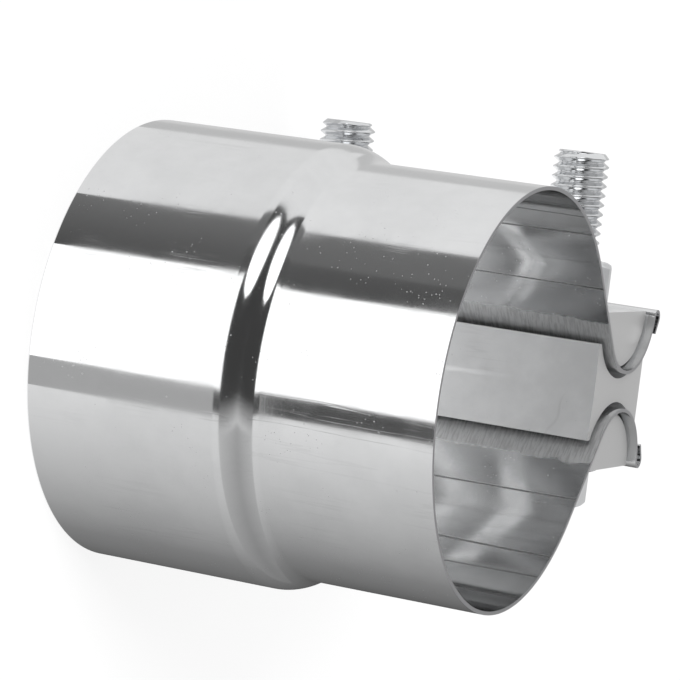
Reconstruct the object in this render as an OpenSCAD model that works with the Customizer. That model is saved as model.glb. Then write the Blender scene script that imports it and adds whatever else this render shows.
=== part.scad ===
// Lap joint exhaust clamp for a 2.5 inch pipe.
// A wide sheet band has a large end that slips over the outer pipe and a small end for the
// inner pipe.  Both ends of the sheet are rolled into long loops.  Each loop holds a half
// round bar, a waisted block fills the gap between the loops, and two flange bolts with
// hex nuts pull the bars together.
// Axes: Z runs along the pipe from the large end (0), X points at the bolts, Y runs along
// the bolts from their heads to their nuts.  All sizes are in millimetres.

/* [Which piece] */

// Piece to draw, or all of them

/* [Band] */

// Inner diameter of the small end
small_bore = 65.6; // [58:0.2:70]

// How much wider the large end is than the small end
lap_step = 4.6; // [3:0.1:5.4]

// Thickness of the sheet
sheet = 0.6; // [0.4:0.05:0.9]

// Length of the band along the pipe
band_length = 67.5; // [62:0.5:80]

// Length of the plain part of the large end
large_length = 32; // [26:0.5:34]

/* [Loops] */

// Radius of a loop on the side that faces the block
loop_r = 10.3; // [9:0.1:12]

// How far the loops stand off the bore of the small end
loop_offset = 1.2; // [1:0.1:2]

// Gap between the two loops
loop_gap = 5.8; // [4.8:0.1:8]

// Bend radius of the hem along the free edge of each loop
hem_r = 1.1; // [0.8:0.05:1.3]

// How far the hem stands up past the flats of the bars
hem_rise = 0.4; // [0:0.1:1]

// Length of the hem's tail beside the loop
hem_tail = 2.4; // [1:0.1:3]

// How far the hem's tail leans in towards the loop
hem_lean = 20; // [4:1:24]

// Radius of the holes in the sheet for the bolts
sheet_hole_r = 5.6; // [5.3:0.1:6.2]

/* [Bars] */

// Clearance between a bar and its loop
bar_gap = 0.2; // [0.1:0.05:0.5]

// How far the bars and the block stop short of the band's edges
end_inset = 1.4; // [0.5:0.1:4]

// Bevel around the ends of a bar
bar_bevel = 0.5; // [0.2:0.1:1]

// Flat left off the two long edges of a bar
bar_edge = 0.7; // [0.3:0.1:1]

/* [Reaction block] */

// Gap between the block's grooves and the loops
groove_gap = 0.9; // [0.6:0.1:1.1]

// Gap between the block's inner face and the pipe at the small end
block_gap = 0.5; // [0.3:0.1:0.8]

// Depth of the hollow along the inner face
block_hollow = 0.5; // [0.2:0.1:0.8]

// Radius of the hollow along the inner face
hollow_r = 60; // [50:1:80]

// How far the block's outer face stands out past the loops
block_past = 0.2; // [-0.2:0.1:1]

// How far the edges of the block's inner part stop short of the loop centres
inner_cut = 5.2; // [4.8:0.1:6.2]

// How far the edges of the block's outer part stop short of the loop centres
outer_cut = 6.8; // [6.6:0.1:7.2]

// Bevel on the long edges of the outer face
block_bevel = 0.9; // [0.4:0.1:1]

/* [Bolts] */

// Diameter of the bolts
bolt_d = 9.4; // [9:0.1:9.6]

// Distance of the bolt near the small end from that end's edge
small_end_margin = 12.9; // [11:0.1:16]

// Distance of the bolt near the large end from that end's edge
large_end_margin = 11; // [10.8:0.1:15]

// Length of a bolt under its head
bolt_length = 51.8; // [46:0.2:56]

// Diameter of the hole that the bars and the block give each bolt
bolt_hole_d = 10.3; // [10:0.1:10.8]

// Width across the flats of the heads and the nuts
hex_flats = 14.3; // [13:0.1:15]

// Diameter of the flange under a head
flange_d = 18.5; // [17:0.1:19]

// Thickness of the flange at its rim
flange_rim = 1; // [0.6:0.1:1.4]

// Height of a head with its flange
head_height = 7.3; // [6.4:0.1:8.4]

// How far the heads are turned
head_turn = 4.3; // [-30:0.1:30]

/* [Nuts] */

// Height of a nut
nut_height = 7.2; // [5:0.1:8]

// How far the nuts stand off the bar before the clamp is tightened
nut_lift = 0.2; // [0.1:0.1:12]

// Clearance between the crests of a bolt and the bore of its nut
thread_gap = 0.05; // [0.03:0.01:0.08]

// How far the nut near the small end is turned
small_nut_turn = 23; // [-30:1:30]

// How far the nut near the large end is turned
large_nut_turn = -8; // [-30:1:30]

/* [Hidden] */

$fn = 96;

small_r = small_bore / 2;
step_h = lap_step / 2;
large_r = small_r + step_h;

// the shoulder is two equal arcs that meet halfway, where it slopes 4 along to 3 across
arc_r = step_h / 0.4;
shoulder_end = large_length + 1.2 * arc_r;

loop_x = small_r + loop_offset + loop_r;
loop_y = loop_r + loop_gap / 2;
loop_d = sqrt(loop_x * loop_x + loop_y * loop_y);
loop_angle = atan2(loop_y, loop_x);
small_lip = loop_angle + acos((small_r + loop_r) / loop_d);
large_lip = loop_angle + acos((large_r + loop_r) / loop_d);
loop_in_r = loop_r - sheet;

// the lips start a hair inside the ring's surface, so that the two cross cleanly
lip_sink = 0.02;

// the hem's bend is this much thinner on each side, so that no two surfaces only touch
hem_thinning = 0.03;

// the outer leg of a loop ends at this angle, where the hem's bend takes over
hem_drop = hem_r + sheet / 2 - hem_rise;
hem_angle = -asin(hem_drop / (loop_r - sheet / 2 + hem_r));
hem_centre = [loop_x, loop_y] + (loop_r - sheet / 2 + hem_r) * toward(hem_angle);

bar_r = loop_in_r - bar_gap;
block_in = small_r + block_gap;
block_out = loop_x + loop_r + block_past;
block_in_half = loop_y - inner_cut;
block_out_half = loop_y - outer_cut;
groove_r = loop_r + groove_gap;

small_bolt_z = band_length - small_end_margin;
large_bolt_z = large_end_margin;
tip_y = bolt_length - loop_y;
hex_corner = hex_flats / sqrt(3);

far = 200;

steel = [0.80, 0.81, 0.82];
satin = [0.70, 0.71, 0.72];
zinc = [0.76, 0.78, 0.80];

// A unit vector in the plane of the band's cross section.
function toward(a) = [cos(a), sin(a)];

// Point where the straight lip leaves the ring, for the surface o above the bore.
function lip_start(ring, a, o) = (ring + o - lip_sink) * toward(a);

// Point where the straight lip meets the loop, for the surface o above the bore.
function lip_end(a, o) = [loop_x, loop_y] - (loop_r - o + lip_sink) * toward(a);

// Both loops are alike, one on each side of the block.
module both_sides() {
  children();
  mirror([0, 1, 0]) children();
}

// Both bolts stand at the same distance from the pipe.
module both_bolts() {
  for (z = [large_bolt_z, small_bolt_z])
    translate([loop_x, 0, z]) rotate([-90, 0, 0]) children();
}

// Half section of everything inside the surface o above the bore, radius against length.
module bore_section(o, from = -1, to = band_length + 1) {
  low = [large_r - arc_r, large_length];
  high = [small_r + arc_r, shoulder_end];
  translate([0, from]) square([large_r + o, large_length - from]);
  translate([0, shoulder_end]) square([small_r + o, to - shoulder_end]);
  difference() {
    polygon([[0, large_length], low, high, [0, shoulder_end]]);
    translate(high) circle(r = arc_r - o, $fn = 160);
  }
  intersection() {
    translate(low) circle(r = arc_r + o, $fn = 160);
    polygon([low, low + [3 * arc_r, 0], low + [2.4 * arc_r, 1.8 * arc_r]]);
  }
}

// Cross section of the space between the two lips at the small end, out as far as reach.
module small_mouth(o, reach) {
  a = lip_start(small_r, small_lip, o);
  b = lip_end(small_lip, o);
  polygon([
    [0, 0], a, b, [b[0] + reach, b[1]], [b[0] + reach, -b[1]], [b[0], -b[1]], [a[0], -a[1]]
  ]);
}

// Half of the cross section between the lips at the large end, before the shoulder trims it.
module large_mouth(o) {
  a = lip_start(large_r, large_lip, o + 1);
  b = lip_end(large_lip, o + 1);
  c = lip_end(small_lip, o);
  polygon([[0, 0], a, b, c, [c[0], 0]]);
}

// The shoulder carried on straight along the lip of the large end.
module lip_shoulder(o) {
  rotate([0, 0, large_lip]) rotate([90, 0, 0])
    translate([-lip_sink, 0, -far / 2]) linear_extrude(height = far) bore_section(o);
}

// Everything inside the surface o above the bore of the band, out past the lips by reach.
module inside(o, reach) {
  rotate_extrude($fn = 180) bore_section(o);
  translate([0, 0, -1]) linear_extrude(height = band_length + 2) small_mouth(o, reach);
  both_sides()
    intersection() {
      translate([0, 0, -1]) linear_extrude(height = shoulder_end + 1) large_mouth(o);
      lip_shoulder(o);
    }
}

// Sheet between two radii about a centre, from one angle to another.
module strip(x, y, r_in, r_out, from, to) {
  middle = (from + to) / 2;
  reach = 3 * r_out;
  translate([x, y])
    intersection() {
      difference() {
        circle(r = r_out);
        circle(r = r_in);
      }
      polygon([[0, 0], reach * toward(from), reach * toward(middle), reach * toward(to)]);
    }
}

// Cross section of a hem, from just inside the leg at 180 degrees round to the end of its tail.
module hem_section() {
  bend = sheet - 2 * hem_thinning;
  tail = sheet - 4 * hem_thinning;
  strip(0, 0, hem_r - bend / 2, hem_r + bend / 2, 90, 186);
  strip(0, 0, hem_r - bend / 2, hem_r + bend / 2, -hem_lean, 100);
  rotate(-hem_lean) translate([hem_r - tail / 2, -hem_tail]) square([tail, hem_tail + 0.1]);
}

// Cross section of the outer half of a loop, as far as the end of its hem.
module outer_leg_section() {
  strip(loop_x, loop_y, loop_in_r, loop_r, 270, 360 + hem_angle);
  translate(hem_centre) rotate(hem_angle) hem_section();
}

module loops() {
  both_sides() {
    linear_extrude(height = band_length)
      strip(loop_x, loop_y, loop_in_r, loop_r, 179 + small_lip, 280);
    linear_extrude(height = large_length)
      strip(loop_x, loop_y, loop_in_r, loop_r, 183 + large_lip, 185 + small_lip);
    linear_extrude(height = band_length) outer_leg_section();
  }
}

// The one folded sheet: stepped ring, lips, loops and hems.
module band() {
  color(steel)
    difference() {
      union() {
        intersection() {
          difference() {
            inside(sheet, 0);
            inside(0, loop_r);
            both_sides()
              translate([loop_x, loop_y, -2]) cylinder(r = loop_in_r, h = band_length + 4);
          }
          cylinder(r = far / 2, h = band_length);
        }
        loops();
      }
      both_bolts() translate([0, 0, -loop_y / 2]) cylinder(r = sheet_hole_r, h = loop_y);
    }
}

// Holes for the two bolts right through a bar or the block.
module bolt_holes() {
  both_bolts() translate([0, 0, -loop_y - 1]) cylinder(d = bolt_hole_d, h = 2 * loop_y + 2);
}

module block_section() {
  difference() {
    union() {
      translate([block_in, -block_in_half]) square([loop_x - block_in, 2 * block_in_half]);
      polygon([
        [loop_x - 1, -block_out_half], [block_out - block_bevel, -block_out_half],
        [block_out, block_bevel - block_out_half], [block_out, block_out_half - block_bevel],
        [block_out - block_bevel, block_out_half], [loop_x - 1, block_out_half]
      ]);
    }
    for (side = [-1, 1]) translate([loop_x, side * loop_y]) circle(r = groove_r, $fn = 144);
  }
}

// Waisted block that fills the gap between the loops and bears on the pipe.
module reaction_block() {
  color(satin)
    difference() {
      translate([0, 0, end_inset])
        linear_extrude(height = band_length - 2 * end_inset) block_section();
      rotate([90, 0, 0])
        translate([0, 0, -far / 2]) linear_extrude(height = far) bore_section(block_gap);
      translate([block_in + block_hollow - hollow_r, 0, -1])
        cylinder(r = hollow_r, h = band_length + 2, $fn = 360);
      translate([block_in + step_h + block_hollow - hollow_r, 0, -1])
        cylinder(r = hollow_r, h = large_length + 1, $fn = 360);
      bolt_holes();
    }
}

// Half round bar in the loop on the nuts' side.
module bar_solid() {
  low = end_inset;
  high = band_length - end_inset;
  edge_x = bar_r - bar_edge;
  difference() {
    intersection() {
      translate([loop_x, loop_y, 0])
        rotate_extrude($fn = 144)
          polygon([
            [0, low], [bar_r - bar_bevel, low], [bar_r, low + bar_bevel],
            [bar_r, high - bar_bevel], [bar_r - bar_bevel, high], [0, high]
          ]);
      translate([loop_x, loop_y, 0])
        linear_extrude(height = band_length)
          polygon([
            [-bar_r, -2 * bar_r], [bar_r, -2 * bar_r], [bar_r, -bar_edge],
            [edge_x, 0], [-edge_x, 0], [-bar_r, -bar_edge]
          ]);
    }
    bolt_holes();
  }
}

module nut_side_bar() {
  color(satin) bar_solid();
}

module head_side_bar() {
  color(satin) mirror([0, 1, 0]) bar_solid();
}

// Hexagon from z = 0 up, its corners eased at the top and, if wanted, at the bottom.
module hexagon(height, ease_bottom) {
  ease = hex_corner - hex_flats / 2;
  drop = ease * 0.75;
  floor_r = ease_bottom ? hex_flats / 2 : hex_corner + 1;
  intersection() {
    cylinder(r = hex_corner, h = height, $fn = 6);
    rotate_extrude()
      polygon([
        [0, 0], [floor_r, 0], [hex_corner + 0.01, ease_bottom ? drop : 0.01],
        [hex_corner + 0.01, height - drop], [hex_flats / 2, height], [0, height]
      ]);
  }
}

// Flange bolt with its head hanging below z = 0 and its tip at the top.
module bolt() {
  flange_r = flange_d / 2;
  flange_top = flange_rim + 1.1;
  tip = 1.1;
  cylinder(d = bolt_d, h = bolt_length - tip);
  translate([0, 0, bolt_length - tip])
    cylinder(r1 = bolt_d / 2, r2 = bolt_d / 2 - tip, h = tip);
  mirror([0, 0, 1]) {
    rotate_extrude($fn = 120)
      union() {
        polygon([
          [0, 0], [flange_r - 0.3, 0], [flange_r, 0.3], [flange_r, flange_rim - 0.3],
          [flange_r - 0.45, flange_rim], [hex_flats / 2 - 0.2, flange_top], [0, flange_top]
        ]);
      }
    translate([0, 0, flange_rim]) rotate([0, 0, head_turn])
      hexagon(head_height - flange_rim, false);
  }
}

module bolt_at(z) {
  translate([loop_x, -loop_y, z]) rotate([-90, 0, 0]) bolt();
}

module small_end_bolt() {
  color(zinc) bolt_at(small_bolt_z);
}

module large_end_bolt() {
  color(zinc) bolt_at(large_bolt_z);
}

module nut_at(z, turn) {
  translate([loop_x, loop_y + nut_lift, z]) rotate([-90, 0, 0])
    difference() {
      rotate([0, 0, turn]) hexagon(nut_height, true);
      translate([0, 0, -1]) cylinder(d = bolt_d + 2 * thread_gap, h = nut_height + 2);
      both_ends_of_nut() cylinder(r1 = bolt_d / 2 + 0.7, r2 = bolt_d / 2 - 0.3, h = 1);
    }
}

// Countersinks at the two mouths of a nut's bore.
module both_ends_of_nut() {
  translate([0, 0, -0.01]) children();
  translate([0, 0, nut_height + 0.01]) mirror([0, 0, 1]) children();
}

module small_end_nut() {
  color(zinc) nut_at(small_bolt_z, small_nut_turn);
}

module large_end_nut() {
  color(zinc) nut_at(large_bolt_z, large_nut_turn);
}

band();
reaction_block();
head_side_bar();
nut_side_bar();
small_end_bolt();
large_end_bolt();
small_end_nut();
large_end_nut();
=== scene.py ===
"""Looks of a lap joint exhaust clamp: stepped band, rolled loops, bars, block, bolts, nuts."""

import logging
import math
from contextlib import contextmanager
from dataclasses import dataclass
from enum import Enum
from typing import Callable, Iterator, Sequence

import bmesh
import bpy
import numpy as np
from bpy.types import Material, Node, NodeSocket, NodeTree, Object
from mathutils import Matrix, Vector

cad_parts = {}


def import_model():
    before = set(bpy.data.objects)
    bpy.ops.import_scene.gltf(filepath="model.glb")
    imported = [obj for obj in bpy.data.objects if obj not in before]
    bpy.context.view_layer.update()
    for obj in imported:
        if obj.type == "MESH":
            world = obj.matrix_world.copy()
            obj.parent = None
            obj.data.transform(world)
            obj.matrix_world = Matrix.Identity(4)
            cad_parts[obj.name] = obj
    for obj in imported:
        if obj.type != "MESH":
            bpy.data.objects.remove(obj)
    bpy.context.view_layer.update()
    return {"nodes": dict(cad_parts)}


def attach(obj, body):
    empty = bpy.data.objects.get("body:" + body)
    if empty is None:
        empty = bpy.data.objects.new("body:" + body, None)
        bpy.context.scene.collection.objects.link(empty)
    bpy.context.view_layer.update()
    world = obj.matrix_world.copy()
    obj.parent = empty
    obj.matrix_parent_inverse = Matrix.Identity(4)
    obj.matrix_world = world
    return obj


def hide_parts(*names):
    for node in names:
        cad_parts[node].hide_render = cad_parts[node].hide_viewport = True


LOG = logging.getLogger("exhaust_clamp")
MM = 0.001
Point = tuple[float, float, float]
Colour = tuple[float, float, float, float]
Flat = tuple[float, float]
Sockets = dict[str, NodeSocket]
BOLT_X = 44.3
SMALL_BOLT_Z = 54.6
LARGE_BOLT_Z = 11.0
BAR_FLAT_Y = 13.2
TIP_Y = 38.6
HEX_FLATS = 14.3
BORE_SINK = 0.75
CHAMFER_ANGLE = 28.0
CORNER_LOSS = 0.18
DRILL_REACH = 8.0
ARC_SINE = 0.6
RING_STEPS, LOOP_STEPS, HEM_STEPS = 110, 64, 25
HEM_THINNING = 0.1


class Slot(Enum):
    """The record's material slots."""

    SHEET = "polished_sheet"
    BAR = "satin_bar"
    FASTENER = "plated_fastener"


class Shader:
    """A small helper that adds and links nodes in one node tree."""

    def __init__(self, tree: NodeTree) -> None:
        """Keeps the node tree of a material or of a node group."""
        self.tree = tree

    def node(self, kind: str, **values: object) -> Node:
        """Adds a node and sets its properties.

        Args:
            kind: The node's type name.
            **values: Properties of the node by name.

        Returns:
            The new node.
        """
        made = self.tree.nodes.new(kind)
        for name, value in values.items():
            setattr(made, name, value)
        return made

    def link(self, source: NodeSocket, target: NodeSocket) -> None:
        """Links two sockets."""
        self.tree.links.new(source, target)

    def feed(self, socket: NodeSocket, value: object) -> None:
        """Sets a socket's value, or links it.

        Args:
            socket: The input to feed.
            value: A plain value, or the socket to link.
        """
        if isinstance(value, NodeSocket):
            self.link(value, socket)
        else:
            socket.default_value = value

    def fed(self, kind: str, *values: object, **options: object) -> Node:
        """Adds a node and feeds its inputs in order.

        Args:
            kind: The node's type name.
            *values: What each input gets, or None to leave it alone.
            **options: Properties of the node by name.

        Returns:
            The new node.
        """
        made = self.node(kind, **options)
        for socket, value in zip(made.inputs, values):
            if value is not None:
                self.feed(socket, value)
        return made

    def wired(self, made: Node, **values: object) -> Node:
        """Feeds a node's inputs by name.

        Args:
            made: The node.
            **values: What the inputs get.

        Returns:
            The node.
        """
        for name, value in values.items():
            self.feed(made.inputs[name], value)
        return made

    def math(self, operation: str, *values: object, clamp: bool = False) -> NodeSocket:
        """Adds a Math node and returns its output."""
        made = self.fed("ShaderNodeMath", *values, operation=operation, use_clamp=clamp)
        return made.outputs[0]

    def times(self, first: object, second: object, clamp: bool = False) -> NodeSocket:
        """Multiplies two numbers and returns the result."""
        return self.math("MULTIPLY", first, second, clamp=clamp)

    def noise(self, vector: object, scale: float, detail: float, rough: float) -> NodeSocket:
        """Adds a Noise texture and returns its factor."""
        return self.fed("ShaderNodeTexNoise", vector, None, scale, detail, rough).outputs["Fac"]

    def span(self, value: object, *ends: float) -> NodeSocket:
        """Maps the range from ends 1 to 2 smoothly onto ends 3 to 4, or onto 0 to 1."""
        options = {"interpolation_type": "SMOOTHSTEP", "clamp": True}
        return self.fed("ShaderNodeMapRange", value, *ends, **options).outputs[0]

    def stretched(self, along: Point) -> NodeSocket:
        """Gives object coordinates scaled per axis; a small number stretches a pattern."""
        place = self.node("ShaderNodeTexCoord").outputs["Object"]
        return self.wired(self.node("ShaderNodeMapping"), Vector=place, Scale=along).outputs[0]

    def use(self, shared: "Group", **values: object) -> bpy.types.bpy_prop_collection:
        """Places a node group, feeds its inputs and returns its outputs by name."""
        return self.wired(self.node("ShaderNodeGroup", node_tree=shared.tree()), **values).outputs

    def parts(self, vector: NodeSocket) -> bpy.types.bpy_prop_collection:
        """Splits a vector and returns the outputs X, Y and Z."""
        return self.fed("ShaderNodeSeparateXYZ", vector).outputs

    def point(self, *values: object) -> NodeSocket:
        """Joins X, Y and Z into a vector and returns it."""
        return self.fed("ShaderNodeCombineXYZ", *values).outputs[0]

    def bump(self, height: NodeSocket, distance: float) -> Node:
        """Adds a Bump node for a height and returns it."""
        return self.wired(self.node("ShaderNodeBump"), Height=height, Distance=distance)

    def crease(self, field: object, full: float, gone: float) -> NodeSocket:
        """Draws a line where a noise crosses its middle, solid up to full and faded out at gone."""
        away = self.math("ABSOLUTE", self.math("SUBTRACT", field, 0.5))
        return self.span(away, full, gone, 1.0, 0.0)

    def blend(self, factor: object, first: object, second: object) -> NodeSocket:
        """Mixes two colours by a factor and returns the colour."""
        unused = [None] * 5
        return self.fed(
            "ShaderNodeMix", factor, *unused, first, second, data_type="RGBA"
        ).outputs[2]


@dataclass(frozen=True)
class Group:
    """A node group that is built at its first use and shared after that.

    Attributes:
        name: The group's name.
        draw: Draws its nodes from its inputs, and returns its outputs.
        outputs: Names of the outputs, which are all numbers.
        inputs: Default of each number, or None for a vector, by the input's name.
    """

    name: str
    draw: Callable[[Shader, Sockets], Sockets]
    outputs: tuple[str, ...]
    inputs: dict[str, float | None]

    def tree(self) -> NodeTree:
        """Finds the group's node tree, or builds it.

        Returns:
            The tree.
        """
        tree = bpy.data.node_groups.get(self.name)
        if tree is not None:
            return tree
        tree = bpy.data.node_groups.new(self.name, "ShaderNodeTree")
        add = tree.interface.new_socket
        for label, default in self.inputs.items():
            kind = "NodeSocketVector" if default is None else "NodeSocketFloat"
            socket = add(name=label, in_out="INPUT", socket_type=kind)
            if default is not None:
                socket.default_value = default
        for label in self.outputs:
            add(name=label, in_out="OUTPUT", socket_type="NodeSocketFloat")
        s = Shader(tree)
        given = s.node("NodeGroupInput").outputs
        leave = s.node("NodeGroupOutput").inputs
        for label, socket in self.draw(s, {socket.name: socket for socket in given}).items():
            s.link(socket, leave[label])
        return tree


def hairlines(s: Shader, given: Sockets) -> Sockets:
    """Fine straight scratches along a stretched Vector, as height and as a mask.

    Args:
        s: Draws the nodes.
        given: The group's inputs.

    Returns:
        The socket of each output.
    """
    fine = s.noise(given["Vector"], 2200.0, 2.0, 0.6)
    coarse = s.noise(given["Vector"], 420.0, 3.0, 0.5)
    broken = s.noise(given["Place"], 55.0, 2.0, 0.5)
    kept = s.times(s.crease(coarse, 0.0, 0.022), s.span(broken, 0.5, 0.68))
    mask = s.times(kept, given["Amount"], clamp=True)
    height = s.math("SUBTRACT", s.times(fine, 0.35), mask)
    return {"Height": height, "Mask": mask}


HAIRLINES = Group(
    "hairlines", hairlines, ("Height", "Mask"), {"Vector": None, "Place": None, "Amount": 0.6}
)


def pits(s: Shader, given: Sockets) -> Sockets:
    """Scattered pin pricks and specks, as a mask.

    Args:
        s: Draws the nodes.
        given: The group's inputs.

    Returns:
        The socket of each output.
    """
    cells = s.node("ShaderNodeTexVoronoi", feature="F1")
    s.link(given["Place"], cells.inputs["Vector"])
    s.link(given["Density"], cells.inputs["Scale"])
    size = s.noise(given["Place"], 160.0, 2.0, 0.6)
    dots = s.math("LESS_THAN", cells.outputs["Distance"], s.span(size, 0.46, 0.66, 0.0, 0.13))
    return {"Mask": s.times(dots, given["Amount"], clamp=True)}


PITS = Group("pits", pits, ("Mask",), {"Place": None, "Density": 900.0, "Amount": 0.5})


def stray_scratches(s: Shader, given: Sockets) -> Sockets:
    """A few long curved scratches from handling, as a mask.

    Args:
        s: Draws the nodes.
        given: The group's inputs.

    Returns:
        The socket of each output.
    """
    field = s.noise(given["Place"], 34.0, 2.0, 0.45)
    where = s.noise(given["Place"], 21.0, 1.0, 0.5)
    kept = s.times(s.crease(field, 0.0, 0.004), s.span(where, 0.6, 0.66))
    return {"Mask": s.times(kept, given["Amount"], clamp=True)}


STRAY_SCRATCHES = Group(
    "stray scratches", stray_scratches, ("Mask",), {"Place": None, "Amount": 0.6}
)


def forming_lines(s: Shader, given: Sockets) -> Sockets:
    """A few straight dark lines along the pipe, left where the sheet was formed.

    Args:
        s: Draws the nodes.
        given: The group's inputs.

    Returns:
        The socket of each output.
    """
    place = s.parts(given["Place"])
    angle = s.math("ABSOLUTE", s.math("ARCTAN2", place["Y"], place["X"]))
    spot = s.point(angle, s.times(place["Z"], 0.6), 0.0)
    field = s.noise(spot, 3.6, 0.0, 0.5)
    return {"Mask": s.crease(field, 0.004, 0.012)}


FORMING_LINES = Group("forming lines", forming_lines, ("Mask",), {"Place": None})


def rub_marks(s: Shader, given: Sockets) -> Sockets:
    """The clear inside of the ring, where the finish lays its painted shade, and the zone where the
    lips rub, with its marks.

    Args:
        s: Draws the nodes.
        given: The group's inputs.

    Returns:
        The socket of each output.
    """
    place = s.parts(given["Place"])
    ragged = s.noise(given["Place"], 300.0, 2.0, 0.6)
    edge = s.math("MULTIPLY_ADD", ragged, 0.0012, place["X"])
    inside = s.times(given["Side"], s.span(edge, 0.038, 0.042, 1.0, 0.0))
    zone = s.times(s.span(edge, 0.0328, 0.0333), inside)
    spot = s.point(0.0, s.times(place["Y"], 0.15), place["Z"])
    scored = s.span(s.noise(spot, 2600.0, 3.0, 0.6), 0.42, 0.62)
    return {
        "Clear": s.math("SUBTRACT", inside, zone, clamp=True),
        "Zone": zone,
        "Mask": s.times(scored, zone),
    }


RUB_MARKS = Group("rub marks", rub_marks, ("Clear", "Zone", "Mask"), {"Place": None, "Side": 0.0})


def clouds(s: Shader, given: Sockets) -> Sockets:
    """Broad soft patches left by handling and polishing, from 0 to 1.

    Args:
        s: Draws the nodes.
        given: The group's inputs.

    Returns:
        The socket of each output.
    """
    wide = s.noise(given["Place"], 42.0, 3.0, 0.5)
    small = s.noise(given["Place"], 240.0, 4.0, 0.6)
    both = s.math("ADD", s.times(wide, 0.7), s.times(small, 0.3))
    return {"Value": s.span(both, 0.35, 0.65)}


CLOUDS = Group("clouds", clouds, ("Value",), {"Place": None})


def blank_material(name: str) -> tuple[Material, Shader, NodeSocket]:
    """Makes a material that holds nothing but its output.

    Args:
        name: The material's name.

    Returns:
        The material, its shader helper and the socket for its surface.
    """
    material = bpy.data.materials.new(name)
    material.use_nodes = True
    material.node_tree.nodes.clear()
    shader = Shader(material.node_tree)
    return material, shader, shader.node("ShaderNodeOutputMaterial").inputs["Surface"]


@dataclass(frozen=True)
class MetalFinish:
    """A bare or plated metal surface.

    Attributes:
        name: Material name.
        bright: Colour where the metal is clean.
        dull: Colour in the patches.
        cut: Colour of the cut ends, which face along the pipe.
        cut_rough: Roughness of the cut ends.
        rough_low: Roughness where polished.
        rough_high: Roughness in the patches.
        metallic: How much of the surface is bare metal.
        lines_axis: Scale of the drawn lines on each axis, small along the lines.
        streaks_axis: Scale of the fainter streaks that cross them.
        lines: How strong the drawn lines are.
        specks: How strong the specks are.
        speck_density: Number of cells for specks in a metre.
        relief: Height of the fine relief in metres.
        waves: Height of the slow waviness in metres.
        inner_painted_shade: Painted shade on the inner side, how much darker it is made, if the
            piece tells its sides apart.
    """

    name: str
    bright: Colour
    dull: Colour
    cut: Colour
    cut_rough: float
    rough_low: float
    rough_high: float
    metallic: float
    lines_axis: Point
    streaks_axis: Point
    lines: float
    specks: float
    speck_density: float
    relief: float
    waves: float
    inner_painted_shade: float = 0.0

    def material(self) -> Material:
        """Builds the finish.

        Returns:
            The finished material.
        """
        material, s, surface = blank_material(self.name)
        bsdf = s.node("ShaderNodeBsdfPrincipled")
        s.link(bsdf.outputs[0], surface)
        coordinates = s.node("ShaderNodeTexCoord")
        place = coordinates.outputs["Object"]
        facing = s.parts(coordinates.outputs["Normal"])
        cut = s.span(s.math("ABSOLUTE", facing["Z"]), *CUT_FACING)
        drawn_axis, crossing = s.stretched(self.lines_axis), s.stretched(self.streaks_axis)
        lines = s.use(HAIRLINES, Vector=drawn_axis, Place=place, Amount=self.lines)
        streaks = s.use(HAIRLINES, Vector=crossing, Place=place, Amount=self.lines)["Height"]
        dots = s.use(PITS, Place=place, Density=self.speck_density, Amount=self.specks)["Mask"]
        stray = s.use(STRAY_SCRATCHES, Place=place, Amount=self.lines)["Mask"]
        patch = s.use(CLOUDS, Place=place)["Value"]
        colour = s.blend(patch, self.bright, self.dull)
        for mask, tint in ((lines["Mask"], LINE_TINT), (dots, SPECK_TINT), (stray, STRAY_TINT)):
            colour = s.blend(s.times(mask, tint), colour, DARK_GREY)
        drawn_marks = s.times(lines["Mask"], 0.4)
        marks = s.math("MAXIMUM", s.math("MAXIMUM", drawn_marks, stray), dots)
        # Painted shade on the inside of the ring: the clear inside is mixed towards DARK_GREY by
        # inner_painted_shade, plus the forming lines; the rub zone gets only its rub marks.
        if self.inner_painted_shade:
            side = s.node("ShaderNodeAttribute", attribute_name="inner").outputs["Fac"]
            drawn = s.use(FORMING_LINES, Place=place)["Mask"]
            rubbed = s.use(RUB_MARKS, Place=place, Side=side)
            shade = s.math("MULTIPLY_ADD", drawn, DRAWN_SHADE, self.inner_painted_shade)
            rubs = s.times(rubbed["Mask"], RUB_SHADE)
            shade = s.math("MULTIPLY_ADD", shade, rubbed["Clear"], rubs)
            colour = s.blend(shade, colour, DARK_GREY)
            marks = s.math("MAXIMUM", marks, s.times(drawn, rubbed["Clear"]))
            marks = s.math("MAXIMUM", marks, s.times(rubbed["Zone"], RUB_DULLING))
        s.link(s.blend(cut, colour, self.cut), bsdf.inputs["Base Color"])
        base = s.span(patch, 0.0, 1.0, self.rough_low, self.rough_high)
        rough = s.math("MULTIPLY_ADD", marks, MARK_ROUGHNESS, base)
        rough = s.math("MAXIMUM", rough, s.times(cut, self.cut_rough))
        s.link(rough, bsdf.inputs["Roughness"])
        bsdf.inputs["Metallic"].default_value = self.metallic
        slow = s.bump(s.noise(place, WAVE_SCALE, 1.0, 0.4), self.waves)
        scored = s.math("ADD", lines["Height"], s.times(streaks, STREAK_SHARE))
        fine = s.bump(s.math("SUBTRACT", scored, s.math("ADD", dots, stray)), self.relief)
        s.link(slow.outputs[0], fine.inputs["Normal"])
        s.link(fine.outputs[0], bsdf.inputs["Normal"])
        return material


# DARK_GREY is what the marks are darkened towards, and the inner side's painted shade too.
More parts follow.
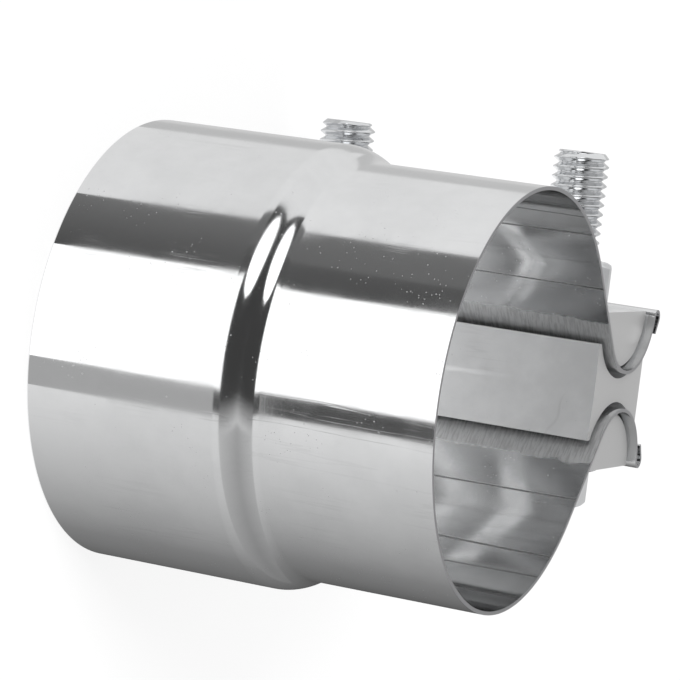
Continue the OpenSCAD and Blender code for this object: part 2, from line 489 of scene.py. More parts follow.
DARK_GREY = (0.10, 0.10, 0.10, 1)
CUT_FACING = (0.86, 0.95)
LINE_TINT, SPECK_TINT, STRAY_TINT = 0.07, 0.10, 0.45
DRAWN_SHADE, RUB_SHADE, RUB_DULLING = 0.35, 0.22, 1.6
MARK_ROUGHNESS = 0.28
STREAK_SHARE = 0.7
WAVE_SCALE = 48.0
# The sheet's last number, 0.35, is the painted shade on the inside of the ring.
POLISHED_SHEET = MetalFinish(
    "polished stainless sheet", (0.80, 0.805, 0.81, 1), (0.74, 0.745, 0.75, 1),
    (0.40, 0.40, 0.41, 1), 0.4,
    0.09, 0.15, 1.0, (1.0, 1.0, 0.04), (0.06, 0.06, 1.0), 0.7, 1.0, 1300.0, 4e-6, 9e-5, 0.35,
)
SATIN_BAR = MetalFinish(
    "satin drawn bar", (0.78, 0.785, 0.79, 1), (0.66, 0.665, 0.67, 1), (0.53, 0.53, 0.53, 1), 0.5,
    0.32, 0.44, 0.72, (1.0, 1.0, 0.05), (0.3, 1.0, 1.0), 0.8, 0.8, 700.0, 9e-6, 4e-5,
)
ZINC_PLATE = MetalFinish(
    "bright zinc plate", (0.80, 0.81, 0.82, 1), (0.66, 0.67, 0.69, 1), (0.80, 0.81, 0.82, 1), 0.16,
    0.14, 0.28, 1.0, (1.0, 0.2, 1.0), (1.0, 1.0, 0.4), 0.5, 0.6, 1100.0, 5e-6, 2e-5,
)


def placed(name: str, data: bpy.types.ID) -> Object:
    """Puts an object into the scene.

    Args:
        name: The object's name.
        data: Its mesh, camera or lamp.

    Returns:
        The object at the origin.
    """
    made = bpy.data.objects.new(name, data)
    bpy.context.scene.collection.objects.link(made)
    return made


@contextmanager
def editing(mesh: bpy.types.Mesh) -> Iterator[bmesh.types.BMesh]:
    """Opens a mesh for editing, and writes it back afterwards.

    Args:
        mesh: The mesh to edit.

    Yields:
        The mesh as a BMesh.
    """
    work = bmesh.new()
    work.from_mesh(mesh)
    yield work
    work.to_mesh(mesh)
    work.free()
    mesh.update()


def mesh_object(
    name: str,
    points: Sequence[Point],
    faces: Sequence[Sequence[int]],
    material: Material,
    inner: Sequence[float] | None = None,
    sharp: float = 32.0,
) -> Object:
    """Makes an object at the origin from points and faces.

    Args:
        name: The object's name.
        points: Corners in metres, in the row frame.
        faces: Corner numbers of each face.
        material: The material of every face.
        inner: How far each point belongs to the inner side, if the finish asks for it.
        sharp: Angle in degrees above which an edge stays sharp.

    Returns:
        The new object, shaded smooth.
    """
    mesh = bpy.data.meshes.new(name)
    mesh.from_pydata(points, [], faces)
    mesh.materials.append(material)
    if inner is not None:
        point_values(mesh, "inner", inner)
    made = placed(name, mesh)
    tidy(made, sharp)
    return made


def point_values(mesh: bpy.types.Mesh, name: str, values: Sequence[float]) -> None:
    """Stores one number for each point of a mesh under a name."""
    data = mesh.attributes.new(name, "FLOAT", "POINT").data
    data.foreach_set("value", np.array(values, np.float32))


def tidy(thing: Object, sharp: float) -> None:
    """Merges doubles, turns faces outwards, shades smooth and marks sharp edges.

    Args:
        thing: The object to tidy.
        sharp: Angle in degrees above which an edge stays sharp.
    """
    with editing(thing.data) as work:
        bmesh.ops.remove_doubles(work, verts=work.verts, dist=1e-7)
        bmesh.ops.recalc_face_normals(work, faces=work.faces)
        for face in work.faces:
            face.smooth = True
        for edge in work.edges:
            if len(edge.link_faces) == 2:
                edge.smooth = edge.calc_face_angle(0.0) < math.radians(sharp)


def finish_modifiers(thing: Object) -> None:
    """Applies every modifier on an object and leaves a plain mesh.

    Args:
        thing: The object to flatten.
    """
    graph = bpy.context.evaluated_depsgraph_get()
    mesh = bpy.data.meshes.new_from_object(thing.evaluated_get(graph), depsgraph=graph)
    thing.modifiers.clear()
    old = thing.data
    thing.data = mesh
    bpy.data.meshes.remove(old)


def bevel(thing: Object, width: float, angle: float) -> None:
    """Rounds an object's sharp edges.

    Args:
        thing: The object.
        width: Bevel width in metres.
        angle: Edges sharper than this many degrees are bevelled.
    """
    step = thing.modifiers.new("edges", "BEVEL")
    step.width = width
    step.segments = 2
    step.limit_method = "ANGLE"
    step.angle_limit = math.radians(angle)
    finish_modifiers(thing)
    tidy(thing, 50)
    thing.modifiers.new("flats stay flat", "WEIGHTED_NORMAL").keep_sharp = True
    finish_modifiers(thing)


def settle(piece: Object, body: str, node: str) -> None:
    """Hands a finished piece to the frame.

    Args:
        piece: The object.
        body: CAD body it moves with.
        node: CAD node it stands for.
    """
    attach(piece, body)
    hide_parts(node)
    LOG.info("%s rides on %s, %d faces", piece.name, body, len(piece.data.polygons))


def polar(centre: Flat, radius: float, angle: float) -> Flat:
    """A point at a distance and an angle from a centre."""
    return centre[0] + radius * math.cos(angle), centre[1] + radius * math.sin(angle)


@dataclass
class Band:
    """The folded sheet: stepped ring, lips, loops and hems.

    Attributes:
        small_r: Inner radius of the small end.
        large_r: Inner radius of the large end.
        sheet: Thickness of the sheet.
        length: Length along the pipe.
        large_length: Length of the plain part of the large end.
        arc_r: Radius of each arc of the shoulder.
        loop: Centre of the loop on the nuts' side.
        loop_r: Radius of a loop on the block's side.
        hem_r: Bend radius of the hem.
        hem_angle: Angle round the loop at which the hem starts, in degrees.
        hem_lean: How far the hem's tail leans in, in degrees.
        hem_tail: Length of the hem's tail.
        hole_r: Radius of the holes for the bolts.
        bolt_z: Heights of the two bolts.
    """

    small_r: float = 32.8
    large_r: float = 35.1
    sheet: float = 0.6
    length: float = 67.5
    large_length: float = 32.0
    arc_r: float = 5.75
    loop: Flat = (BOLT_X, BAR_FLAT_Y)
    loop_r: float = 10.3
    hem_r: float = 1.1
    hem_angle: float = -5.17
    hem_lean: float = 20.0
    hem_tail: float = 2.4
    hole_r: float = 5.6
    bolt_z: Flat = (LARGE_BOLT_Z, SMALL_BOLT_Z)

    def ring_radius(self, z: float, offset: float) -> float:
        """Radius of the ring's surface at a height.

        Args:
            z: Height above the large end.
            offset: Distance of the surface from the bore.

        Returns:
            The radius.
        """
        start = self.large_length
        end = start + 2 * ARC_SINE * self.arc_r
        middle = start + ARC_SINE * (self.arc_r + offset)
        if z <= start:
            return self.large_r + offset
        if z >= end:
            return self.small_r + offset
        if z <= middle:
            rise = math.sqrt((self.arc_r + offset) ** 2 - (z - start) ** 2)
            return self.large_r - self.arc_r + rise
        return self.small_r + self.arc_r - math.sqrt((self.arc_r - offset) ** 2 - (end - z) ** 2)

    def half_section(self, z: float, offset: float) -> list[Flat]:
        """Half of the cross section, from the back of the ring to the end of the hem.

        Args:
            z: Height above the large end.
            offset: Distance of the surface from the bore.

        Returns:
            Points in the plane of the section.
        """
        ring = self.ring_radius(z, offset)
        loop = self.loop_r - offset
        lip = math.atan2(*reversed(self.loop)) + math.acos((ring + loop) / math.hypot(*self.loop))
        points = [polar((0.0, 0.0), ring, a) for a in np.linspace(math.pi, lip, RING_STEPS)]
        start, end = np.array(points[-1]), np.array(polar(self.loop, -loop, lip))
        points += [tuple(start + share * (end - start)) for share in (0.25, 0.5, 0.75)]
        leave = math.radians(self.hem_angle)
        for angle in np.linspace(math.pi + lip, 2 * math.pi + leave, LOOP_STEPS):
            points.append(polar(self.loop, loop, angle))
        middle = polar(self.loop, self.loop_r - self.sheet / 2 + self.hem_r, leave)
        last = -math.radians(self.hem_lean)
        for angle in np.linspace(math.pi, last, HEM_STEPS)[1:]:
            thinned = 1.0 - HEM_THINNING * min(1.0, (math.pi - angle) / 0.5)
            turn = self.hem_r + (offset - self.sheet / 2) * thinned
            points.append(polar(middle, turn, angle + leave))
        bend_end = points[-1]
        for share in (0.3, 0.6, 0.93, 1.0):
            points.append(polar(bend_end, share * self.hem_tail, last + leave - math.pi / 2))
        return points

    def section(self, z: float, offset: float) -> list[Flat]:
        """The whole cross section, from one hem round the ring to the other."""
        upper = self.half_section(z, offset)
        return [(x, -y) for x, y in reversed(upper)][:-1] + upper

    def rows(self) -> list[float]:
        """Lists the heights at which the sheet is drawn.

        Returns:
            The heights, closest together in the shoulder.
        """
        end = self.large_length + 2 * ARC_SINE * self.arc_r
        near_edge = 0.3
        parts = (
            [0.0],
            np.linspace(near_edge, self.large_length, 9),
            np.linspace(self.large_length, end, 31)[1:],
            np.linspace(end, self.length - near_edge, 9)[1:],
            [self.length],
        )
        return [float(z) for part in parts for z in part]

    def build(self, finish: MetalFinish) -> Object:
        """Makes the sheet as one closed solid with its bolt holes.

        Args:
            finish: The sheet's finish.

        Returns:
            The band.
        """
        rows = self.rows()
        points = [
            (x * MM, y * MM, z * MM)
            for offset in (0.0, self.sheet) for z in rows for x, y in self.section(z, offset)
        ]
        faces: list[tuple[int, ...]] = []
        tall = len(rows)
        layer = len(points) // 2
        wide = layer // tall

        def rim(point: int, other: int) -> tuple[int, ...]:
            """Joins the sheet's two sides along an edge."""
            return point, other, other + layer, point + layer

        for corner in range(layer):
            row, column = divmod(corner, wide)
            along, up = column < wide - 1, row < tall - 1
            if along and up:
                face = (corner, corner + 1, corner + 1 + wide, corner + wide)
                faces += [face, tuple(point + layer for point in reversed(face))]
            if up and column in (0, wide - 1):
                faces.append(rim(corner, corner + wide))
            if along and row in (0, tall - 1):
                faces.append(rim(corner, corner + 1))
        # Marks the inner side, which the sheet's finish darkens with painted shade and forming
        # lines.
        inner = [1.0] * layer + [0.0] * layer
        made = mesh_object("band_sheet", points, faces, finish.material(), inner)
        self.pierce(made)
        bevel(made, 0.1 * MM, 60)
        return made

    def pierce(self, sheet: Object) -> None:
        """Cuts the holes through which the bolts pass.

        Args:
            sheet: The band's object.
        """
        for z in self.bolt_z:
            ends = [(self.hole_r, -DRILL_REACH), (self.hole_r, DRILL_REACH)]
            drill = drum("drill", (self.loop[0], z), ends, 64, sheet.active_material)
            cut = sheet.modifiers.new("hole", "BOOLEAN")
            cut.operation = "DIFFERENCE"
            cut.solver = "EXACT"
            cut.object = drill
            finish_modifiers(sheet)
            bpy.data.objects.remove(drill)


def wrapped(
    name: str,
    centre: Flat,
    angles: Sequence[float],
    rings: Sequence[Sequence[Flat]],
    material: Material,
    bored: bool = False,
    sharp: float = 32.0,
) -> Object:
    """A closed solid from rings about a line along Y.

    Args:
        name: The object's name.
        centre: X and Z of the line, in millimetres.
        angles: Direction of each point of a ring, in radians.
        rings: Radius and Y of each point of each ring, in millimetres.
        material: The finish.
        bored: Whether the last ring joins the first, with no cap at either end.
        sharp: Angle in degrees above which an edge stays sharp.

    Returns:
        The solid.
    """
    x, z = centre
    points = [
        ((x + radius * math.cos(angle)) * MM, y * MM, (z - radius * math.sin(angle)) * MM)
        for ring in rings for angle, (radius, y) in zip(angles, ring)
    ]
    sides, count = len(angles), len(rings)
    faces: list[tuple[int, ...]] = []
    for ring in range(count if bored else count - 1):
        this, other = ring * sides, (ring + 1) % count * sides
        for step in range(sides):
            after = (step + 1) % sides
            faces.append((this + step, this + after, other + after, other + step))
    if not bored:
        faces += [tuple(range(sides)), tuple(range((count - 1) * sides, count * sides))]
    return mesh_object(name, points, faces, material, sharp=sharp)


def drum(
    name: str, centre: Flat, profile: Sequence[Flat], sides: int, material: Material
) -> Object:
    """A turned solid about a line along Y, from each ring's radius and Y in millimetres."""
    angles = [-2 * math.pi * step / sides for step in range(sides)]
    return wrapped(name, centre, angles, [[ring] * sides for ring in profile], material)


@dataclass
class SolidCopy:
    """A CAD solid shown again with eased edges.

    Attributes:
        node: CAD node to copy.
        edge: Width of the eased edges in metres.
    """

    node: str
    edge: float = 0.25 * MM

    def build(self, source: Object, finish: MetalFinish) -> Object:
        """Copies the node's mesh and eases its edges.

        Args:
            source: The CAD node's object.
            finish: The finish to wear.

        Returns:
            The dressed copy.
        """
        mesh = source.data.copy()
        mesh.materials.clear()
        mesh.materials.append(finish.material())
        made = placed(self.node + "_dressed", mesh)
        flatter = math.radians(0.4)
        with editing(mesh) as work:
            bmesh.ops.remove_doubles(work, verts=work.verts, dist=1e-6)
            bmesh.ops.dissolve_limit(work, angle_limit=flatter, verts=work.verts, edges=work.edges)
            for face in work.faces:
                face.material_index = 0
        tidy(made, 32)
        bevel(made, self.edge, 32)
        return made


FLANK_SLOPE, CREST_FLAT = 2.5, 0.16
RUN_OUT = 2.5 * MM


@dataclass
class Thread:
    """A helical thread on a shank, drawn by a node tree.

    Attributes:
        crest_r: Radius of the crests.
        depth: Depth of the grooves.
        pitch: Distance between turns.
        low: Y where the shank starts.
        start: Y where the thread starts.
        tip: Y of the shank's tip.
        bevel: Height of the tip's bevel.
    """

    crest_r: float = 4.7
    depth: float = 0.92
    pitch: float = 1.5875
    low: float = -BAR_FLAT_Y
    start: float = 4.0
    tip: float = TIP_Y
    bevel: float = 0.9

    def tree(self) -> NodeTree:
        """Builds the node tree that turns a flat grid into the threaded shank.

        Returns:
            The geometry node tree, with named inputs for every size.
        """
        tree = bpy.data.node_groups.get("threaded shank")
        if tree is not None:
            return tree
        tree = bpy.data.node_groups.new("threaded shank", "GeometryNodeTree")
        add = tree.interface.new_socket
        for name in ("Crest radius", "Depth", "Pitch", "Length", "Thread start", "Tip bevel"):
            add(name=name, in_out="INPUT", socket_type="NodeSocketFloat")
        add(name="Finish", in_out="INPUT", socket_type="NodeSocketMaterial")
        add(name="Geometry", in_out="OUTPUT", socket_type="NodeSocketGeometry")
        s = Shader(tree)
        given = s.node("NodeGroupInput").outputs
        grid = s.node("GeometryNodeMeshGrid")
        for name, value in (("Size X", 1), ("Size Y", 1), ("Vertices X", 49), ("Vertices Y", 420)):
            grid.inputs[name].default_value = value
        place = s.parts(s.node("GeometryNodeInputPosition").outputs[0])
        turn = s.math("ADD", place["X"], 0.5)
        height = s.times(s.math("ADD", place["Y"], 0.5), given["Length"])
        phase = s.math("FRACT", s.math("SUBTRACT", s.math("DIVIDE", height, given["Pitch"]), turn))
        saw = s.math("ABSOLUTE", s.math("SUBTRACT", phase, 0.5))
        groove = s.math("MULTIPLY_ADD", saw, FLANK_SLOPE, -CREST_FLAT, clamp=True)
        past = s.math("SUBTRACT", height, given["Thread start"])
        run = s.times(past, 1 / RUN_OUT)
        fade = s.math("MINIMUM", s.math("MAXIMUM", run, 0.0), 1.0)
        cut = s.times(s.times(groove, given["Depth"]), fade)
        radius = s.math("SUBTRACT", given["Crest radius"], cut)
        left = s.math("SUBTRACT", given["Length"], height)
        cone = s.math("ADD", s.math("SUBTRACT", given["Crest radius"], given["Tip bevel"]), left)
        radius = s.math("MINIMUM", radius, cone)
        angle = s.times(turn, 2 * math.pi)
        across = s.times(radius, s.math("COSINE", angle))
        upwards = s.times(radius, s.math("SINE", angle))
        spot = s.point(across, upwards, height)
        flow = grid.outputs["Mesh"]
        for kind, given_too in (
            ("GeometryNodeSetPosition", {"Position": spot}),
            ("GeometryNodeRealizeInstances", {}),
            ("GeometryNodeSetMaterial", {"Material": given["Finish"]}),
        ):
            step = s.node(kind)
            for label, value in {"Geometry": flow, **given_too}.items():
                s.link(value, step.inputs[label])
            flow = step.outputs[0]
        s.link(flow, s.node("NodeGroupOutput").inputs["Geometry"])
        return tree

    def build(self, name: str, centre: Flat, turn: float, finish: Material) -> Object:
        """Makes one threaded shank.

        Args:
            name: The object's name.
            centre: X and Z of the bolt's line, in millimetres.
            turn: How far the thread is turned, in degrees.
            finish: The material.

        Returns:
            The shank as a closed mesh at its place.
        """
        made = placed(name, bpy.data.meshes.new(name))
        tree = self.tree()
        step = made.modifiers.new("thread", "NODES")
        step.node_group = tree
        sizes = {
            "Crest radius": self.crest_r * MM, "Depth": self.depth * MM, "Pitch": self.pitch * MM,
            "Length": (self.tip - self.low) * MM, "Thread start": (self.start - self.low) * MM,
            "Tip bevel": self.bevel * MM, "Finish": finish,
        }
        for item in tree.interface.items_tree:
            if item.in_out == "INPUT":
                step[item.identifier] = sizes[item.name]
        finish_modifiers(made)
        made.data.materials.clear()
        made.data.materials.append(finish)
        place = Matrix.Translation((centre[0] * MM, self.low * MM, centre[1] * MM))
        lie = Matrix.Rotation(math.radians(-90), 4, "X")
        spin = Matrix.Rotation(math.radians(turn), 4, "Z")
        with editing(made.data) as work:
            for face in work.faces:
                face.material_index = 0
            bmesh.ops.remove_doubles(work, verts=work.verts, dist=2e-6)
            rims = [edge for edge in work.edges if edge.is_boundary]
            bmesh.ops.holes_fill(work, edges=rims, sides=0)
            bmesh.ops.transform(work, matrix=place @ lie @ spin, verts=work.verts)
        tidy(made, 70)
        return made


@dataclass
class Hexagon:
    """A hexagon with eased corners, as on a nut or a bolt's head.

    Attributes:
        low: Y of its lower face.
        high: Y of its upper face.
        ease_high: Whether the upper corners are eased like the lower ones.
        turn: Angle of one of its corners, in degrees.
        bore: Radius of its bore, or 0 for none.
        face_r: Radius at which the easing of its corners starts.
    """

    low: float
    high: float
    ease_high: bool = True
    turn: float = 0.0
    bore: float = 0.0
    face_r: float = 7.03

    def reach(self, angle: float) -> float:
        """Distance from the centre to the hexagon's edge, with slightly rounded corners."""
        local = (angle - math.radians(self.turn)) % (math.pi / 3) - math.pi / 6
        return min(HEX_FLATS / 2 / math.cos(local), HEX_FLATS / math.sqrt(3) - CORNER_LOSS)

    def build(self, name: str, centre: Flat, finish: Material) -> Object:
        """Makes the hexagon about a line along Y.

        Args:
            name: The object's name.
            centre: X and Z of the line, in millimetres.
            finish: The material.

        Returns:
            The closed solid.
        """
        sides = 144
        slope = math.tan(math.radians(CHAMFER_ANGLE))
        angles = [2 * math.pi * step / sides + math.radians(self.turn) for step in range(sides)]
        reaches = [self.reach(angle) for angle in angles]

        def corner(y: float, ease: bool, inwards: int) -> list[list[Flat]]:
            """The rings at one end: round the flat, and where the sides begin."""
            steep = slope if ease else 0.0
            return [
                [(self.face_r if ease else r - 0.05, y) for r in reaches],
                [(r, y + inwards * max(0.0, (r - self.face_r) * steep)) for r in reaches],
            ]

        def mouth(y: float, inwards: int) -> list[list[Flat]]:
            """The rings of the countersunk mouth of the bore at one end."""
            return [
                [(self.bore, y + inwards * BORE_SINK)] * sides, [(self.bore + BORE_SINK, y)] * sides
            ]

        rings = corner(self.low, True, 1) + corner(self.high, self.ease_high, -1)[::-1]
        if self.bore:
            rings = mouth(self.low, 1) + rings + mouth(self.high, -1)[::-1]
        return wrapped(name, centre, angles, rings, finish, bool(self.bore), 24)


HEAD_TOP, HEAD_FOOT, HEAD_TURN = 7.3, 1.0, 4.3
FLANGE_RIM = (
    (6.95, 2.1), (7.5, 1.7), (8.2, 1.28), (8.8, 1.05), (9.12, 0.88), (9.25, 0.62), (9.25, 0.3),
    (9.16, 0.1), (8.95, 0.0),
)


@dataclass
class Fastener:
    """What a bolt and a nut have in common.

    Attributes:
        node: CAD node it stands for.
        body: CAD body it rides on.
        z: Height of its line above the large end.
        turn: How far it is turned, in degrees.
    """

    node: str
    body: str
    z: float
    turn: float


@dataclass
class FlangeBolt(Fastener):
    """A bolt: hexagon head, flange and threaded shank, seated on the bar's flat."""

    def build(self, finish: MetalFinish) -> Object:
        """Makes the bolt as one piece.

        Args:
            finish: The bolt's finish.

        Returns:
            The bolt.
        """
        metal = finish.material()
        centre = (BOLT_X, self.z)
        rim = [(radius, -BAR_FLAT_Y - drop) for radius, drop in FLANGE_RIM]
        flange = drum(self.node + "_flange", centre, rim, 120, metal)
        hexagon = Hexagon(-BAR_FLAT_Y - HEAD_TOP, -BAR_FLAT_Y - HEAD_FOOT, False, HEAD_TURN)
        head = hexagon.build(self.node + "_head", centre, metal)
        shank = Thread().build(self.node + "_shank", centre, self.turn, metal)
        return joined(self.node + "_dressed", [shank, flange, head])


def joined(name: str, pieces: Sequence[Object]) -> Object:
    """Puts several meshes of one finish into one object.

    Args:
        name: Name of the result.
        pieces: Objects at the origin, used up.

    Returns:
        The object.
    """
    first, *rest = pieces
    with editing(first.data) as work:
        for piece in rest:
            work.from_mesh(piece.data)
    for piece in rest:
        bpy.data.objects.remove(piece)
    first.name = name
    first.data.name = name
    return first


@dataclass
class HexNut(Fastener):
    """A nut on its bolt.

    Attributes:
        low: Y of its lower face.
        height: Its height.
        bore: Radius of its bore.
        face_r: Radius at which the easing of its corners starts.
    """

    low: float = BAR_FLAT_Y + 0.2
    height: float = 7.2
    bore: float = 4.75
    face_r: float = 6.55

    def build(self, finish: MetalFinish) -> Object:
        """Makes the nut.

        Args:
            finish: The nut's finish.

        Returns:
            The nut.
        """
        high = self.low + self.height
        shape = Hexagon(self.low, high, turn=self.turn, bore=self.bore, face_r=self.face_r)
        return shape.build(self.node + "_dressed", (BOLT_X, self.z), finish.material())


@dataclass(frozen=True)
class Card:
    """A reflector card on the floor, which the ring mirrors.

    Attributes:
        start: Angle at which it starts, in degrees.
        stop: Angle at which it stops.
        glow_start: Its brightness at the start.
        glow_stop: Its brightness at the stop.
    """

    start: float
    stop: float
    glow_start: float
    glow_stop: float


@dataclass(frozen=True)
class Screen(Card):
    """An upright screen, seen from the ring's centre.

    Attributes:
        low: Elevation of its lower edge in degrees.
        high: Elevation of its upper edge in degrees.
        fade: How bright the upper edge is beside the lower one.
        oval: Whether it is an oval lamp in front of the screens.
    """

    low: float
    high: float
    fade: float = 1.0
    oval: bool = False


EDGE_OF_SIGHT = 85.4
NEAR_ROW, FAR_ROW = 78.0, 480.0
CARD_HEIGHT = 0.1 * MM
INNER_RINGS = ((0.0, 23.0, 0.6, 1.0), (23.0, 28.0, 0.6, 3.8), (28.0, 34.8, 2.3, 1.0))
SCREEN_CENTRE = 0.04
OVAL_SHARE = 0.85
FLOOR_GLOW, WORLD_GLOW = 0.75, 0.75
LARGE_END_CARDS = (
    Card(-EDGE_OF_SIGHT, -62, 0.10, 0.25), Card(-62, -16, 0.25, 0.84), Card(-16, -8.7, 0.45, 0.45),
    Card(-8.7, 19.8, 1.5, 1.5), Card(19.8, 35, 0.09, 0.19), Card(35, 68, 0.88, 0.84),
    Card(68, 76, 0.58, 0.58), Card(76, EDGE_OF_SIGHT, 0.66, 0.70),
)
SMALL_END_CARDS = (
    Card(-EDGE_OF_SIGHT, -62, 0.08, 0.25), Card(-62, -14.4, 0.25, 0.88),
    Card(-14.4, -8.8, 0.09, 0.09), Card(-8.8, 18.6, 1.5, 1.5),
    Card(18.6, 26, 0.08, 0.11), Card(26, 36.2, 0.16, 0.18),
    Card(36.2, 68, 0.92, 0.86), Card(68, 76, 0.60, 0.60), Card(76, EDGE_OF_SIGHT, 0.66, 0.70),
)
SCREENS = (
    Screen(98, 196, 0.055, 0.055, -5, 45), Screen(98, 196, 0.30, 0.30, 45, 58),
    Screen(196, 212, 0.055, 0.60, -5, 58, 1.4), Screen(212, 335, 0.60, 0.16, -5, 58, 0.6),
    Screen(30, 98, 0.88, 0.88, -5, 58), Screen(-25, 30, 0.62, 0.62, -5, 58),
    Screen(103, 148, 1.8, 1.8, -2, 29, oval=True), Screen(0, 360, 0.5, 0.5, 58, 89),
)


class Panels:
    """Glowing panels that only mirror in the metal and are part of the studio."""

    def __init__(self, name: str) -> None:
        """Starts an empty set.

        Args:
            name: Name of the object that holds the panels.
        """
        self.name = name
        self.points: list[Point] = []
        self.faces: list[tuple[int, ...]] = []
        self.glow: list[float] = []

    def strip(
        self, ribs: Sequence[Sequence[Point]], glow: Sequence[float], fade: float = 1.0
    ) -> None:
        """Adds one panel.

        Args:
            ribs: Pairs of points across the panel, from its start to its stop.
            glow: Brightness at each rib's first point.
            fade: How bright the second point of a rib is beside the first.
        """
        first = len(self.points)
        for rib, bright in zip(ribs, glow):
            self.points += [tuple(float(v) for v in point) for point in rib]
            self.glow += [float(bright), float(bright) * fade]
        for step in range(len(ribs) - 1):
            a = first + 2 * step
            self.faces.append((a, a + 2, a + 3, a + 1))

    def build(self) -> None:
        """Makes the panels one object that only glossy rays see."""
        material, s, surface = blank_material(self.name)
        shade = s.node("ShaderNodeAttribute", attribute_name="glow")
        lamp = s.node("ShaderNodeEmission")
        s.link(shade.outputs["Fac"], lamp.inputs["Strength"])
        s.link(lamp.outputs[0], surface)
        mesh = bpy.data.meshes.new(self.name)
        mesh.from_pydata(self.points, [], self.faces)
        mesh.materials.append(material)
        point_values(mesh, "glow", self.glow)
        made = placed(self.name, mesh)
        for ray in ("camera", "diffuse", "shadow", "transmission"):
            setattr(made, "visible_" + ray, False)


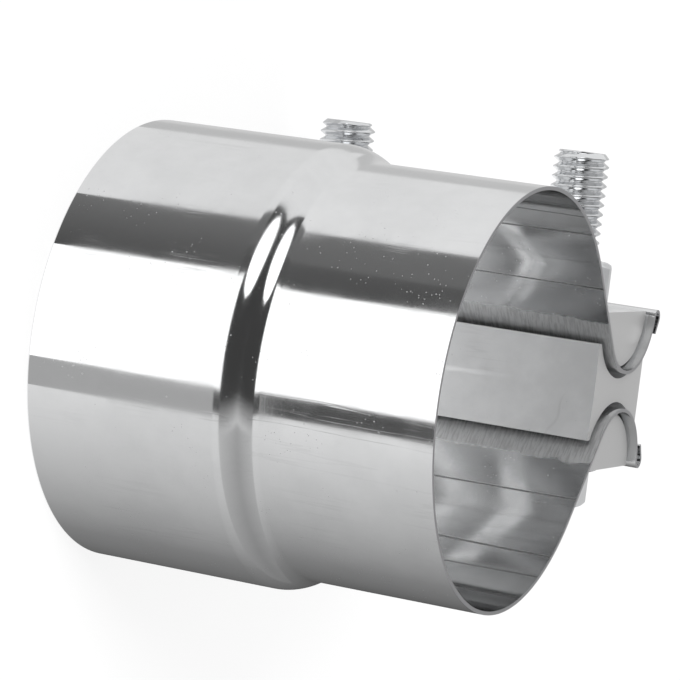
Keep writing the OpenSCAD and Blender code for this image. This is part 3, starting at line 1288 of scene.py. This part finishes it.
@dataclass
class Studio:
    """Floor, light, reflector boards and camera.

    Attributes:
        eye: Camera's place.
        right: Camera's right.
        down: Camera's down.
        lens: Focal length for a 36 mm wide sensor.
        ring: Outer radius of the large and the small end in millimetres.
        middle: Point that the lamps shine at.
    """

    eye: Point = (-0.46496156, 0.04650159, 0.25300009)
    right: Point = (0.430067, 0.122607, 0.894433)
    down: Point = (-0.020503, -0.989153, 0.145449)
    lens: float = 172.4261
    ring: Flat = (35.7, 33.4)
    middle: Point = (0.01, 0.0, 0.03)

    def camera(self) -> None:
        """Places the camera where the photograph was taken from."""
        data = bpy.data.cameras.new("camera")
        data.sensor_width = 36.0
        data.lens = self.lens
        data.clip_start = 0.01
        data.clip_end = 20.0
        made = placed("camera", data)
        right, up = Vector(self.right).normalized(), -Vector(self.down).normalized()
        back = right.cross(up)
        turn = Matrix((right, up, back)).transposed().to_4x4()
        made.matrix_world = Matrix.Translation(self.eye) @ turn
        bpy.context.scene.camera = made

    def floor(self) -> None:
        """Lays a plain pale floor that keeps the object's shadow."""
        material, s, surface = blank_material("pale floor")
        matte = s.node("ShaderNodeBsdfDiffuse")
        matte.inputs["Color"].default_value = (0.86, 0.86, 0.86, 1)
        glow = s.node("ShaderNodeEmission")
        glow.inputs["Strength"].default_value = 1.0
        path = s.node("ShaderNodeLightPath")
        seen = s.math("MAXIMUM", path.outputs["Is Camera Ray"], path.outputs["Is Glossy Ray"])
        seen = s.math("MAXIMUM", seen, path.outputs["Is Transmission Ray"])
        both = s.node("ShaderNodeMixShader")
        s.link(s.times(seen, FLOOR_GLOW), both.inputs[0])
        s.link(matte.outputs[0], both.inputs[1])
        s.link(glow.outputs[0], both.inputs[2])
        s.link(both.outputs[0], surface)
        size = 3.0
        corners = [
            (size * x, size * y, -0.05 * MM) for x, y in ((-1, -1), (1, -1), (1, 1), (-1, 1))
        ]
        mesh_object("floor", corners, [(0, 1, 2, 3)], material)

    def mirrored(self, radius: float, angle: float) -> tuple[np.ndarray, np.ndarray]:
        """Where a line of sight meets the ring and where it goes from there, seen from above.

        Args:
            radius: Radius of the ring in millimetres.
            angle: Angle round the ring from the camera's side, in degrees.

        Returns:
            The point on the ring in millimetres and the direction after the mirror.
        """
        eye = np.array(self.eye[:2]) / MM
        round_ring = math.atan2(eye[1], eye[0]) - math.radians(angle)
        normal = np.array((math.cos(round_ring), math.sin(round_ring)))
        spot = radius * normal
        sight = (spot - eye) / np.linalg.norm(spot - eye)
        return spot, sight - 2 * float(sight @ normal) * normal

    def lay_cards(self) -> None:
        """Lays the reflector cards on the floor that the polished ring mirrors."""
        panels = Panels("floor_cards")
        for radius, near, far, cards in (
            (self.ring[0], 0.0, NEAR_ROW, LARGE_END_CARDS),
            (self.ring[1], NEAR_ROW, FAR_ROW, SMALL_END_CARDS),
        ):
            for card in cards:
                steps = max(2, int(abs(card.stop - card.start)))
                ribs = []
                for angle in np.linspace(card.start, card.stop, steps):
                    spot, away = self.mirrored(radius, float(angle))
                    ribs.append([(*((spot + away * r) * MM), CARD_HEIGHT) for r in (near, far)])
                panels.strip(ribs, np.linspace(card.glow_start, card.glow_stop, steps))
        turns = np.linspace(0, 2 * math.pi, 49)
        for near, far, glow, fade in INNER_RINGS:
            ribs = [
                [(r * MM * math.cos(a), r * MM * math.sin(a), CARD_HEIGHT) for r in (near, far)]
                for a in turns
            ]
            panels.strip(ribs, np.full(len(turns), glow), fade)
        panels.build()

    def hang_screens(self, distance: float = 0.46) -> None:
        """Hangs the screens round the object that its shoulder and bolts mirror.

        Args:
            distance: Distance of the screens from the ring's centre in metres.
        """
        panels = Panels("wall_screens")
        for screen in SCREENS:
            steps = max(9, int(abs(screen.stop - screen.start) / 3))
            away = distance * (OVAL_SHARE if screen.oval else 1.0)
            middle, half = (screen.low + screen.high) / 2, (screen.high - screen.low) / 2
            ribs = []
            for share in np.linspace(-1, 1, steps):
                angle = math.radians(screen.start + (screen.stop - screen.start) * (share + 1) / 2)
                tall = half * (math.sqrt(1 - share * share) if screen.oval else 1.0)
                ribs.append([
                    (away * math.cos(e) * math.cos(angle), away * math.cos(e) * math.sin(angle),
                     SCREEN_CENTRE + away * math.sin(e))
                    for e in (math.radians(middle - tall), math.radians(middle + tall))
                ])
            glow = np.linspace(screen.glow_start, screen.glow_stop, steps)
            panels.strip(ribs, glow, screen.fade)
        panels.build()

    def light(self) -> None:
        """Sets soft lamps and an even, pale world."""
        world = bpy.data.worlds.new("studio")
        world.use_nodes = True
        bpy.context.scene.world = world
        back = world.node_tree.nodes["Background"]
        back.inputs["Color"].default_value = (1, 1, 1, 1)
        back.inputs["Strength"].default_value = WORLD_GLOW
        for name, place, size, power in (
            ("key", (-0.55, 0.55, 0.75), 0.5, 9.0),
            ("fill", (0.35, -0.7, 0.6), 0.6, 4.0),
        ):
            data = bpy.data.lights.new(name, "AREA")
            data.size = size
            data.energy = power
            lamp = placed(name, data)
            lamp.location = place
            lamp.visible_glossy = False
            sight = Vector(self.middle) - Vector(place)
            lamp.rotation_euler = sight.to_track_quat("-Z", "Y").to_euler()

    def build(self) -> None:
        """Sets the whole studio up."""
        self.camera()
        self.floor()
        self.lay_cards()
        self.hang_screens()
        self.light()
        bpy.context.scene.view_settings.view_transform = "Standard"


def main() -> None:
    """Builds the dressed clamp."""
    logging.basicConfig(level=logging.INFO, format="%(message)s")
    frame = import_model()
    nodes = frame["nodes"]
    Studio().build()
    settle(Band().build(POLISHED_SHEET), "clamp", "band")
    for node in ("reaction_block", "head_side_bar", "nut_side_bar"):
        settle(SolidCopy(node).build(nodes[node], SATIN_BAR), "clamp", node)
    for piece in (
        FlangeBolt("small_end_bolt", "small_bolt", SMALL_BOLT_Z, 20.0),
        FlangeBolt("large_end_bolt", "large_bolt", LARGE_BOLT_Z, 200.0),
        HexNut("small_end_nut", "small_nut", SMALL_BOLT_Z, 23.0),
        HexNut("large_end_nut", "large_nut", LARGE_BOLT_Z, -8.0),
    ):
        settle(piece.build(ZINC_PLATE), piece.body, piece.node)


if __name__ == "__main__":
    main()
